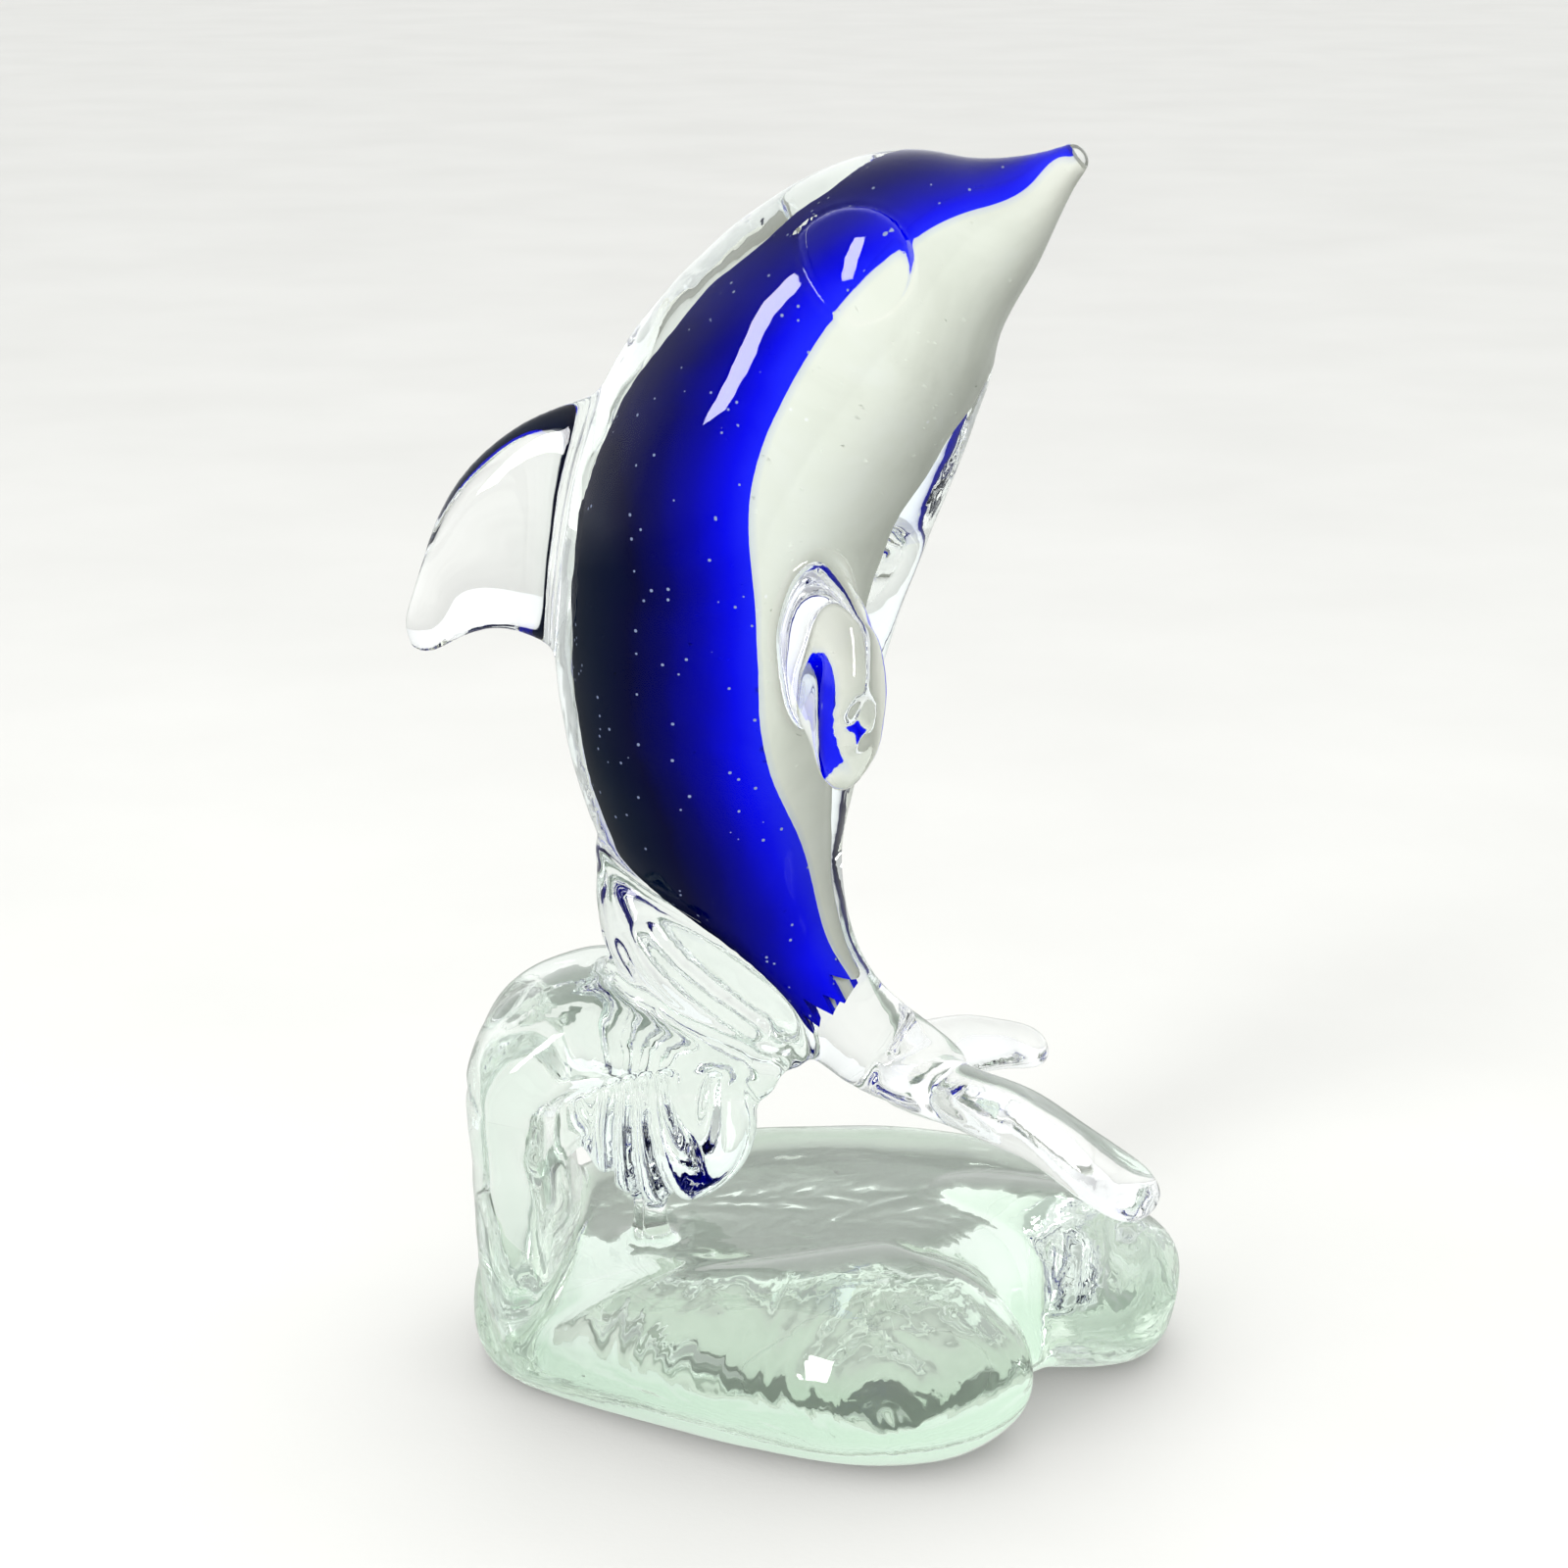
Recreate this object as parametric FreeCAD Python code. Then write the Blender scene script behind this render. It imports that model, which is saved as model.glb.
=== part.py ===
"""Studio-glass dolphin riding a wave, as an assembly of fused bits of glass (millimetres).

Frame: origin at the centre of the resting face, +Z up, +X towards the beak, the dolphin's
left side faces -Y.  The dolphin's plane of symmetry is XZ.  Every piece is hot-fused to its
neighbours, so each one is cut to the exact face of the piece it sits on.
"""
import FreeCAD, Part
import math
import os

from FreeCAD import Vector

os.makedirs("parts", exist_ok=True)

Y_AXIS = Vector(0, 1, 0)
Z_AXIS = Vector(0, 0, 1)

# ---------------------------------------------------------------- driving dimensions
RING_POINTS = 14           # points of one cross-section curve
CAP_ANGLES = (40, 70)      # degrees up the rounded end of a bit of glass, one ring at each

# Dolphin.  Stations run from the beak to the tail: x, z, half depth from back to belly.
BODY_STATIONS = [
    (36.5, 192.3, 2.6), (30.6, 187.8, 6.0), (23.8, 183.2, 11.3), (15.8, 178.7, 17.4),
    (8.2, 172.3, 21.7), (1.2, 164.1, 24.7), (-5.3, 154.5, 26.8), (-11.0, 143.6, 27.8),
    (-14.9, 131.4, 27.4), (-17.0, 118.8, 26.0), (-17.6, 106.1, 24.0), (-16.7, 94.1, 21.4),
    (-14.3, 83.2, 18.0), (-10.1, 73.6, 14.0), (-5.1, 65.2, 10.8), (0.8, 57.9, 8.7),
    (7.4, 51.9, 8.0),
]
BODY_WIDTH = 0.90          # half width across / half depth from back to belly
BEAK_ROUNDING = 2.0        # length of the rounded beak end

# The coloured core inside the clear gather, one line for each body station but the last:
# its size / the gather's, how far it lies towards the back / the gather's half depth, and
# how high on the flank the blue meets the white / the core's half depth (+1 is the ridge
# of the back, -1 the middle of the belly).
CORE_STATIONS = [
    (0.74, 0.0, 0.74), (0.74, 0.0, 0.72), (0.71, 0.0, 0.66), (0.67, -0.02, 0.55),
    (0.63, -0.045, 0.42), (0.61, -0.03, 0.32), (0.60, 0.0, 0.20), (0.60, 0.025, 0.02),
    (0.60, 0.035, -0.25), (0.60, 0.035, -0.41), (0.60, 0.035, -0.50), (0.60, 0.035, -0.70),
    (0.60, 0.035, -0.88), (0.60, 0.035, -0.91), (0.60, 0.035, -0.91), (0.60, 0.035, -0.88),
]
WHITE_RISE = 0.42          # the white bulges this part of the way from its edge to the ridge
WHITE_REACH = 1.1          # it is taken this far past the belly, in core half depths

TOOTH_COUNT = 5            # ragged lower end of the coloured core
TOOTH_DEPTH = 4.5
SHORT_TOOTH = 0.6          # every other tooth is this part of the depth
TOOTH_SPREAD = 2.4         # width of the whole row / half depth of the core
NOTCH_WIDTH = 2.6          # width of a notch at its mouth / pitch of the teeth
TOOTH_ROOT = Vector(-0.4, 0, 59.4)      # middle of the ragged edge

TAIL_STATIONS = [          # x, z, half depth, half width
    (7.4, 51.9, 8.0, 7.2), (12.8, 48.2, 7.0, 8.6), (17.6, 45.6, 5.9, 10.2),
]
# Tail blades: centre x, y, z, half chord, half thickness; y grows away from the middle.
LEFT_FLUKE = [
    (12.5, -2.5, 46.6, 6.8, 5.2), (21.5, -10.4, 46.2, 8.2, 5.0), (31.0, -19.0, 45.2, 8.8, 4.8),
    (39.6, -27.2, 42.0, 8.4, 4.8), (45.4, -32.4, 39.4, 6.4, 4.6),
]
RIGHT_FLUKE = [
    (11.5, 2.5, 47.8, 5.6, 4.0), (18.6, 12.2, 46.2, 6.4, 3.4), (26.4, 21.8, 43.4, 6.6, 3.2),
    (33.4, 29.4, 40.4, 5.4, 3.2),
]
FLUKE_NORMAL = Vector(0.5, 0, 0.87)     # across the blades
TAIL_ROUNDING = 5.0
FLUKE_ROUNDING = 4.5

# Dorsal fin: leading edge x, z, trailing edge x, z, half thickness, from root to tip.
DORSAL_SECTIONS = [
    (-27.0, 154.0, -34.0, 122.0, 10.0), (-34.6, 157.2, -41.2, 117.0, 8.2),
    (-41.4, 155.0, -45.8, 118.6, 6.0), (-49.6, 150.8, -51.0, 120.2, 5.0),
    (-56.6, 144.2, -55.6, 119.4, 4.6), (-61.6, 134.6, -59.8, 117.4, 4.3),
    (-64.6, 126.0, -62.6, 116.6, 3.8), (-65.8, 121.4, -64.8, 117.2, 2.0),
]
# Flippers: centre x, distance from the middle, z, half chord, half thickness.
FLIPPER_STATIONS = [
    (-7.0, 12.0, 127.0, 12.5, 6.0), (-2.0, 21.5, 123.6, 13.0, 6.2), (1.0, 29.0, 119.4, 13.8, 5.6),
    (2.8, 35.5, 116.4, 13.4, 5.2),
]
FLIPPER_NORMAL = Vector(1, 0, -0.12)    # across the paddle
FLIPPER_ROUNDING = 5.0

# Eye: a low clear lens on each flank.
EYE_CENTRE = Vector(2.4, 17.6, 178.6)
EYE_NORMAL = Vector(-0.33, 0.88, 0.34)
EYE_RADIUS = 9.0
EYE_RISE = 2.2             # height of the dome over its rim
EYE_SINK = 5.0             # depth of the disc below its rim, before fitting to the flank

# Wave.  One ribbon of glass, cut in two at the top of the stem: x, z, half thickness,
# half width along Y.
RIBBON_SQUARENESS = 2.8
STEM_STATIONS = [
    (-45.0, 9.0, 10.0, 24.0), (-47.6, 17.0, 8.8, 23.0), (-48.8, 27.0, 7.9, 22.0),
    (-49.2, 37.0, 7.8, 21.5), (-49.8, 46.5, 8.2, 21.0),
]
CREST_STATIONS = [
    (-49.8, 46.5, 8.2, 21.0), (-45.6, 53.4, 8.0, 20.5), (-37.4, 56.6, 8.0, 20.0),
    (-28.0, 55.4, 8.0, 19.5), (-18.8, 51.8, 7.4, 18.0), (-12.4, 49.6, 5.4, 14.0),
]
CREST_ROUNDING = 5.0
CURL_CENTRE = Vector(-25.4, -2.0, 43.0)
CURL_HALF_X, CURL_HALF_Z, CURL_HALF_Y = 13.8, 13.4, 19.0
CURL_ROUNDING = 7.0        # how far each end of the roll is domed
DRIP_STATIONS = [          # strand that runs from the curl down to the base: x, y, z, radius
    (-27.0, -10.0, 36.0, 4.4), (-28.6, -11.0, 29.0, 3.0), (-27.6, -12.0, 22.0, 3.6),
    (-24.0, -12.5, 13.0, 6.5),
]
# Collar that cradles the body: x, z, half depth, half width along Y.
COLLAR_STATIONS = [
    (-33.6, 83.4, 3.4, 8.5), (-30.0, 76.6, 7.6, 14.0), (-24.2, 69.8, 10.0, 17.6),
    (-16.6, 63.0, 10.0, 17.0), (-10.2, 57.6, 8.2, 14.2), (-6.4, 54.2, 6.2, 10.5),
]
COLLAR_ROUNDINGS = (4.0, 5.0)           # upper and lower end
COLLAR_RIBS = 3            # lengthwise grooves pressed in the collar on each side
COLLAR_RIB_ANGLES = (20, 38)            # degrees from the ridge to the first, and between them
COLLAR_PLAIN_ENDS = 2      # half stations left without grooves at either end
COLLAR_GROOVE = 1.1        # depth of a groove
COLLAR_GROOVE_RADIUS = 1.9

# Base.  Outline of the puddle, then its half-round edge: height and inset of each ring.
PUDDLE_OUTLINE = [
    (-57.4, -5.0), (-53.5, 15.0), (-40.0, 33.5), (-19.0, 44.6), (6.0, 47.6), (30.0, 41.6),
    (46.0, 27.0), (50.0, 6.0), (38.0, -14.0), (16.0, -28.0), (-10.0, -33.0), (-34.0, -29.0),
    (-51.0, -19.5),
]
PUDDLE_RINGS = [           # z, inset from the outline
    (0.0, 4.6), (1.2, 2.2), (4.5, 0.4), (9.5, 0.0), (14.6, 0.9), (18.8, 3.4), (21.8, 8.0),
    (23.2, 15.0),
]
FRONT_LOBE = [             # x, y, z, half width, half height
    (-43.0, -12.0, 8.0, 12.0, 10.5), (-28.0, -21.0, 9.0, 14.0, 12.0),
    (-10.0, -27.5, 10.5, 18.5, 14.0), (6.0, -29.5, 11.0, 23.0, 15.4), (16.0, -27.4, 11.0, 20.5, 14.6),
]
FRONT_LOBE_ROUNDING = 12.0
REAR_LOBE = [
    (20.0, 11.0, 10.0, 17.0, 13.5), (33.0, 3.0, 11.0, 19.5, 14.5), (44.5, -2.0, 11.0, 18.0, 13.4),
]
REAR_LOBE_ROUNDING = 13.0
TABLE_SIZE = 400.0         # side of the blocks that cut, larger than the whole object


# ---------------------------------------------------------------- shape helpers
def signed_power(value, power):
    """Power that keeps the sign, for rounded-square rings."""
    return math.copysign(abs(value) ** power, value)


def closed_wire(points):
    """Smooth closed wire; equal parameter steps let rings of one skin share their knots."""
    curve = Part.BSplineCurve()
    curve.interpolate(Points=points, PeriodicFlag=True,
                      Parameters=[float(i) for i in range(len(points) + 1)])
    return Part.Wire([curve.toShape()])


def ring(centre, u_half, v_half, squareness=2.0):
    """Closed smooth wire with semi-axis vectors u_half and v_half; 2 is an ellipse."""
    points = []
    for i in range(RING_POINTS):
        angle = 2 * math.pi * i / RING_POINTS
        along_u = signed_power(math.cos(angle), 2 / squareness)
        along_v = signed_power(math.sin(angle), 2 / squareness)
        points.append(centre + u_half * along_u + v_half * along_v)
    return closed_wire(points)


def skin(profiles):
    """Closed solid skinned over a run of rings; a vertex at either end closes it smoothly."""
    return Part.makeLoft(profiles, True, False, False).Solids[0]


def spline(points):
    """Smooth curve whose parameter is the index of the point."""
    curve = Part.BSplineCurve()
    curve.interpolate(Points=points, Parameters=[float(i) for i in range(len(points))])
    return curve


def smooth_run(stations, per_span=2):
    """Centres, tangents and half sizes on smooth curves through (x, y, z, half_u, half_v)."""
    centres = spline([Vector(*station[:3]) for station in stations])
    sizes = spline([Vector(station[3], station[4], i) for i, station in enumerate(stations)])
    steps = (len(stations) - 1) * per_span
    run = []
    for i in range(steps + 1):
        parameter = i / per_span
        centre = centres.value(parameter)
        tangent = centres.tangent(parameter)[0]
        size = sizes.value(parameter)
        run.append((centre, tangent, size.x, size.y))
    return run


def tube(stations, across, start_round=0.0, end_round=0.0, squareness=2.0, per_span=2):
    """Bit of glass along a path: half_v of a station is measured along 'across'."""
    profiles = []

    def add(centre, tangent, half_u, half_v):
        v_axis = (across - tangent * across.dot(tangent)).normalize()
        u_axis = v_axis.cross(tangent)
        profiles.append(ring(centre, u_axis * half_u, v_axis * half_v, squareness))

    def add_cap(section, length, angles):
        centre, tangent, half_u, half_v = section
        for angle in angles:
            shrink = math.cos(math.radians(angle))
            place = centre + tangent * (length * math.sin(math.radians(angle)))
            add(place, tangent, half_u * shrink, half_v * shrink)

    run = smooth_run(stations, per_span)
    if start_round:
        profiles.append(Part.Vertex(run[0][0] - run[0][1] * start_round))
        add_cap(run[0], -start_round, reversed(CAP_ANGLES))
    for section in run:
        add(*section)
    if end_round:
        add_cap(run[-1], end_round, CAP_ANGLES)
        profiles.append(Part.Vertex(run[-1][0] + run[-1][1] * end_round))
    return skin(profiles)


def in_plane(stations):
    """Stations (x, z, half depth, half width) of a piece that lies in the XZ plane."""
    return [(x, 0.0, z, half_depth, half_width) for x, z, half_depth, half_width in stations]


def minus(shape, *cutters):
    """The largest solid that is left of a shape when its neighbours are taken out."""
    rest = shape
    for cutter in cutters:
        rest = rest.cut(cutter)
    return max(rest.Solids, key=lambda solid: solid.Volume)


def mirrored(shape):
    """The same piece on the dolphin's other side."""
    return shape.mirror(Vector(0, 0, 0), Y_AXIS)


# ---------------------------------------------------------------- dolphin
def body_stations():
    return [(x, 0.0, z, half, half * BODY_WIDTH) for x, z, half in BODY_STATIONS]


def clear_gather():
    """Outer shape of the body, from the beak to the flat joint with the tail stock."""
    return tube(body_stations(), Y_AXIS, start_round=BEAK_ROUNDING)


def core_sections():
    """Centre, direction to the back, half depth and half width of the core, per station."""
    run = smooth_run(body_stations(), per_span=1)
    sections = []
    for (centre, tangent, half_depth, half_width), (scale, towards_back, _) in zip(run, CORE_STATIONS):
        to_back = Y_AXIS.cross(tangent)
        shifted = centre + to_back * (half_depth * towards_back)
        sections.append((shifted, to_back, half_depth * scale, half_width * scale))
    return sections


def coloured_core():
    """Blue and white together, before the ragged lower end is cut."""
    return skin([ring(centre, to_back * depth, Y_AXIS * width)
                 for centre, to_back, depth, width in core_sections()])


def white_shape():
    """Rounded body that marks off the white belly inside the coloured core."""
    rings = []
    for (centre, to_back, depth, width), (_, _, edge) in zip(core_sections(), CORE_STATIONS):
        top = edge + WHITE_RISE * (1 - edge)
        middle = (top - WHITE_REACH) / 2
        half = (top + WHITE_REACH) / 2
        level = (edge - middle) / half
        spread = math.sqrt((1 - edge * edge) / (1 - level * level))
        rings.append(ring(centre + to_back * (depth * middle), to_back * (depth * half),
                          Y_AXIS * (width * spread)))
    return skin(rings)


def ragged_end():
    """Wedges that leave pointed teeth at the lower end of the colour."""
    last_centre, to_back, depth, _ = core_sections()[-1]
    tail_ward = to_back.cross(Y_AXIS)
    pitch = TOOTH_SPREAD * depth / TOOTH_COUNT
    wedges = []
    for i in range(TOOTH_COUNT + 1):
        middle = TOOTH_ROOT + to_back * (pitch * (i - TOOTH_COUNT / 2))
        peak = middle - tail_ward * (TOOTH_DEPTH * (1.0 if i % 2 else SHORT_TOOTH))
        mouth = middle + tail_ward * (2 * TOOTH_DEPTH)
        half = to_back * (pitch * NOTCH_WIDTH / 2)
        outline = [peak, mouth + half, mouth - half, peak]
        start = [point - Y_AXIS * (TABLE_SIZE / 2) for point in outline]
        wedges.append(Part.Face(Part.makePolygon(start)).extrude(Y_AXIS * TABLE_SIZE))
    return wedges


def tail_stock():
    return tube(in_plane(TAIL_STATIONS), Y_AXIS, end_round=TAIL_ROUNDING)


def fluke(stations):
    return tube(stations, FLUKE_NORMAL, end_round=FLUKE_ROUNDING)


def dorsal_fin():
    wires = []
    for lead_x, lead_z, trail_x, trail_z, half_thickness in DORSAL_SECTIONS:
        lead = Vector(lead_x, 0, lead_z)
        trail = Vector(trail_x, 0, trail_z)
        wires.append(ring((lead + trail) / 2, (lead - trail) / 2, Y_AXIS * half_thickness))
    return skin(wires)


def flipper():
    """Left flipper: a thick paddle that points out and a little down."""
    stations = [(x, -out, z, chord, thick) for x, out, z, chord, thick in FLIPPER_STATIONS]
    return tube(stations, FLIPPER_NORMAL, end_round=FLIPPER_ROUNDING)


def eye_disc():
    """Left eye: the cap of a ball, limited by a round rim."""
    centre = Vector(EYE_CENTRE.x, -EYE_CENTRE.y, EYE_CENTRE.z)
    outward = Vector(EYE_NORMAL.x, -EYE_NORMAL.y, EYE_NORMAL.z).normalize()
    ball_radius = (EYE_RADIUS ** 2 + EYE_RISE ** 2) / (2 * EYE_RISE)
    ball = Part.makeSphere(ball_radius, centre - outward * (ball_radius - EYE_RISE))
    rim = Part.makeCylinder(EYE_RADIUS, EYE_SINK + EYE_RISE + 1, centre - outward * EYE_SINK, outward)
    return ball.common(rim)


# ---------------------------------------------------------------- wave
def wave_stem():
    return tube(in_plane(STEM_STATIONS), Y_AXIS, squareness=RIBBON_SQUARENESS)


def wave_crest():
    return tube(in_plane(CREST_STATIONS), Y_AXIS, end_round=CREST_ROUNDING,
                squareness=RIBBON_SQUARENESS)


def crest_curl():
    """Roll of glass that hangs in the hollow of the wave, with the strand below it."""
    reach = CURL_HALF_Y - CURL_ROUNDING
    stations = [(CURL_CENTRE.x, CURL_CENTRE.y + reach * side, CURL_CENTRE.z, CURL_HALF_X, CURL_HALF_Z)
                for side in (-1, 0, 1)]
    roll = tube(stations, Z_AXIS, start_round=CURL_ROUNDING, end_round=CURL_ROUNDING)
    strand = tube([(x, y, z, radius, radius) for x, y, z, radius in DRIP_STATIONS], Y_AXIS)
    return roll.fuse(strand)


def collar():
    """Wrap that cradles the body, with lengthwise grooves down its outer side."""
    upper_round, lower_round = COLLAR_ROUNDINGS
    blank = tube(in_plane(COLLAR_STATIONS), Y_AXIS, upper_round, lower_round)
    between_ends = smooth_run(in_plane(COLLAR_STATIONS))[COLLAR_PLAIN_ENDS:-COLLAR_PLAIN_ENDS]
    first_angle, pitch = COLLAR_RIB_ANGLES
    for i in range(COLLAR_RIBS):
        angle = math.radians(first_angle + pitch * i)
        for side in (-1, 1):
            path = []
            for centre, tangent, depth, width in between_ends:
                outward = Y_AXIS.cross(tangent)
                surface = centre + outward * (depth * math.cos(angle))
                surface = surface + Y_AXIS * (side * width * math.sin(angle))
                away = (outward * math.cos(angle) + Y_AXIS * (side * math.sin(angle)))
                place = surface + away * (COLLAR_GROOVE_RADIUS - COLLAR_GROOVE)
                path.append((*place, COLLAR_GROOVE_RADIUS, COLLAR_GROOVE_RADIUS))
            blank = blank.cut(tube(path, Y_AXIS, per_span=1))
    return blank


# ---------------------------------------------------------------- base
def puddle():
    """Flat-topped puddle with a half-round edge, skinned over inset copies of its outline."""
    middle_x = sum(x for x, _ in PUDDLE_OUTLINE) / len(PUDDLE_OUTLINE)
    middle_y = sum(y for _, y in PUDDLE_OUTLINE) / len(PUDDLE_OUTLINE)
    wires = []
    for z, inset in PUDDLE_RINGS:
        points = []
        for x, y in PUDDLE_OUTLINE:
            reach = math.hypot(x - middle_x, y - middle_y)
            keep = (reach - inset) / reach
            inset_x = middle_x + (x - middle_x) * keep
            inset_y = middle_y + (y - middle_y) * keep
            points.append(Vector(inset_x, inset_y, z))
        wires.append(closed_wire(points))
    return skin(wires)


def lobe(stations, rounding):
    """Fold of glass laid over the puddle; half height is along Z, flat where it rests."""
    table = Part.makeBox(TABLE_SIZE, TABLE_SIZE, TABLE_SIZE,
                         Vector(-TABLE_SIZE / 2, -TABLE_SIZE / 2, -TABLE_SIZE))
    return minus(tube(stations, Z_AXIS, end_round=rounding), table)


# ---------------------------------------------------------------- assembly
gather = clear_gather()
colour = coloured_core()
for wedge in ragged_end():
    colour = minus(colour, wedge)
white = white_shape()
tail = tail_stock()
near_fluke = fluke(LEFT_FLUKE)
far_fluke = fluke(RIGHT_FLUKE)
collar_blank = collar()
crest = wave_crest()
front = lobe(FRONT_LOBE, FRONT_LOBE_ROUNDING)
rear = lobe(REAR_LOBE, REAR_LOBE_ROUNDING)
slab = puddle()
left_flipper = minus(flipper(), gather)
left_lens = minus(eye_disc(), gather)

pieces = {
    "body_casing": minus(gather, colour),
    "cobalt_back_core": minus(colour, white),
    "opal_belly_core": colour.common(white).Solids[0],
    "tail_stock": tail,
    "left_fluke": minus(near_fluke, tail, gather),
    "right_fluke": minus(far_fluke, tail, gather, near_fluke),
    "dorsal_fin": minus(dorsal_fin(), gather),
    "left_pectoral_fin": left_flipper,
    "right_pectoral_fin": mirrored(left_flipper),
    "left_eye": left_lens,
    "right_eye": mirrored(left_lens),
    "crest_collar": minus(collar_blank, gather, tail),
    "wave_crest": minus(crest, gather, tail, collar_blank),
    "crest_curl": minus(crest_curl(), crest, collar_blank, gather, slab, front),
    "wave_stem": minus(wave_stem(), slab, front),
    "base_front_lobe": front,
    "base_rear_lobe": minus(rear, front),
    "base_slab": minus(slab, front, rear),
}

for name, shape in pieces.items():
    box = shape.BoundBox
    print(f"{name}: valid {shape.isValid()}, solids {len(shape.Solids)}, "
          f"volume {shape.Volume / 1000:.2f} cm3, "
          f"x {box.XMin:.1f}..{box.XMax:.1f} y {box.YMin:.1f}..{box.YMax:.1f} "
          f"z {box.ZMin:.1f}..{box.ZMax:.1f}")
    shape.exportStep(f"parts/{name}.step")
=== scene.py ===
"""Looks of the glass dolphin.

All the clear glass starts as one blown skin over the CAD solids.  It is then parted again
where the pieces join, one visible piece for each CAD piece.  The coloured core lies inside.
"""

import math

import bmesh
import bpy
import numpy as np
from mathutils import Matrix, Vector
from mathutils.bvhtree import BVHTree
from mathutils.interpolate import poly_3d_calc
from mathutils.kdtree import KDTree


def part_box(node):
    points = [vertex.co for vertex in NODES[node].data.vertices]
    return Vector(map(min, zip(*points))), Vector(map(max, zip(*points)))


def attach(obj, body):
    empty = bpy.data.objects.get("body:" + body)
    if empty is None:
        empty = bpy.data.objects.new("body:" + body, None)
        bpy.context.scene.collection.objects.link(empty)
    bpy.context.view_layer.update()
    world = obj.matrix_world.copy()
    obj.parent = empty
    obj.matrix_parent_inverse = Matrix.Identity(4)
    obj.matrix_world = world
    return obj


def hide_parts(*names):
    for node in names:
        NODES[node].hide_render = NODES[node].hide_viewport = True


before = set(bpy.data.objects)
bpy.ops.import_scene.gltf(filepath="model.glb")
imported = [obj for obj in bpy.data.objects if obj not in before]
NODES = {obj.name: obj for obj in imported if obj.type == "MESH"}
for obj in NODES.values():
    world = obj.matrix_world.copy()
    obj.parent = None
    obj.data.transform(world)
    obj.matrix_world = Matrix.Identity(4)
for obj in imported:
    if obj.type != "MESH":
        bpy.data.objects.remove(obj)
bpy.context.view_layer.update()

MM = 0.001

# ---------------------------------------------------------------- sizes
WELD = 0.001 * MM
VOXEL = 0.6 * MM
CUTTER_VOXEL = 0.8 * MM
CORE_VOXEL = 0.5 * CUTTER_VOXEL
FILLET = 1.5 * MM                # radius the molten glass leaves in a crease
SKIN_ROUNDS = 5                  # of smoothing, which takes out the marks of the voxels
JOIN_GAP = 0.012 * MM            # air between two pieces of one melt, too thin to see
SEAM_ZONE = 1.2 * MM             # normals this near a seam come from the whole skin

GLASS_NODES = [
    "body_casing", "dorsal_fin", "left_pectoral_fin", "right_pectoral_fin",
    "left_eye", "right_eye", "tail_stock", "left_fluke", "right_fluke",
    "crest_collar", "wave_crest", "crest_curl", "wave_stem",
    "base_front_lobe", "base_rear_lobe", "base_slab",
]
# the order the pieces are parted in, and how far past its CAD skin each one reaches, in mm
PARTING = (
    ("body_casing", 0.3), ("crest_collar", 2.4), ("tail_stock", 1.6), ("left_fluke", 0.9),
    ("wave_crest", 1.2), ("crest_curl", 1.0), ("base_front_lobe", 1.3),
    ("base_rear_lobe", 1.3), ("base_slab", 1.3),
)
LEFT_OVER = ("dorsal_fin", "left_pectoral_fin", "right_pectoral_fin", "left_eye", "right_eye",
             "right_fluke", "wave_stem")
MELTS = {
    "clear": ("body_casing", "dorsal_fin", "left_pectoral_fin", "right_pectoral_fin", "left_eye",
              "right_eye", "tail_stock", "left_fluke", "right_fluke", "crest_collar"),
    "wave": ("wave_crest", "crest_curl", "wave_stem"),
    "green": ("base_front_lobe", "base_rear_lobe", "base_slab"),
}
SHOWN, JOIN = 0, 1               # material slots of a face that shows and of one in a join


# ---------------------------------------------------------------- meshes
def new_piece(name, mesh):
    """An object for a mesh, linked to the scene."""
    piece = bpy.data.objects.new(name, mesh)
    bpy.context.scene.collection.objects.link(piece)
    return piece


def shells_of(bm):
    """Groups of vertices that hang together."""
    waiting = set(bm.verts)
    shells = []
    while waiting:
        front = [waiting.pop()]
        shell = list(front)
        while front:
            near = [e.other_vert(v) for v in front for e in v.link_edges]
            front = [v for v in set(near) if v in waiting]
            waiting.difference_update(front)
            shell += front
        shells.append(shell)
    return shells


def height(shell):
    """From the lowest vertex of a shell to the highest."""
    levels = [vertex.co.z for vertex in shell]
    return max(levels) - min(levels)


def outer_skin(node):
    """The CAD node's outer shell with its split corners welded."""
    bm = bmesh.new()
    bm.from_mesh(NODES[node].data)
    bmesh.ops.remove_doubles(bm, verts=bm.verts, dist=WELD)
    shells = sorted(shells_of(bm), key=height)
    bmesh.ops.delete(bm, geom=[v for shell in shells[:-1] for v in shell], context="VERTS")
    mesh = bpy.data.meshes.new(node + "_skin")
    bm.to_mesh(mesh)
    bm.free()
    return mesh


def settle(piece):
    """Applies the modifiers and leaves none on the piece."""
    graph = bpy.context.evaluated_depsgraph_get()
    mesh = bpy.data.meshes.new_from_object(piece.evaluated_get(graph))
    piece.modifiers.clear()
    piece.data = mesh
    return piece


def remesh(piece, voxel):
    """Queues an even mesh over all the shells of the piece."""
    step = piece.modifiers.new("remesh", "REMESH")
    step.mode, step.voxel_size = "VOXEL", voxel


def swell(piece, distance):
    """Queues a move of the whole surface along its normals."""
    step = piece.modifiers.new("swell", "DISPLACE")
    step.strength, step.mid_level = distance, 0.0


def smooth(piece, rounds):
    """Queues an averaging of each vertex with its neighbours."""
    step = piece.modifiers.new("smooth", "SMOOTH")
    step.factor, step.iterations = 0.5, rounds


def combine(piece, cutter, operation):
    """Cuts one solid with another; the new faces keep the cutter's material slot."""
    step = piece.modifiers.new("part", "BOOLEAN")
    step.operation, step.solver, step.object = operation, "MANIFOLD", cutter
    step.material_mode = "INDEX"
    return settle(piece)


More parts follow.
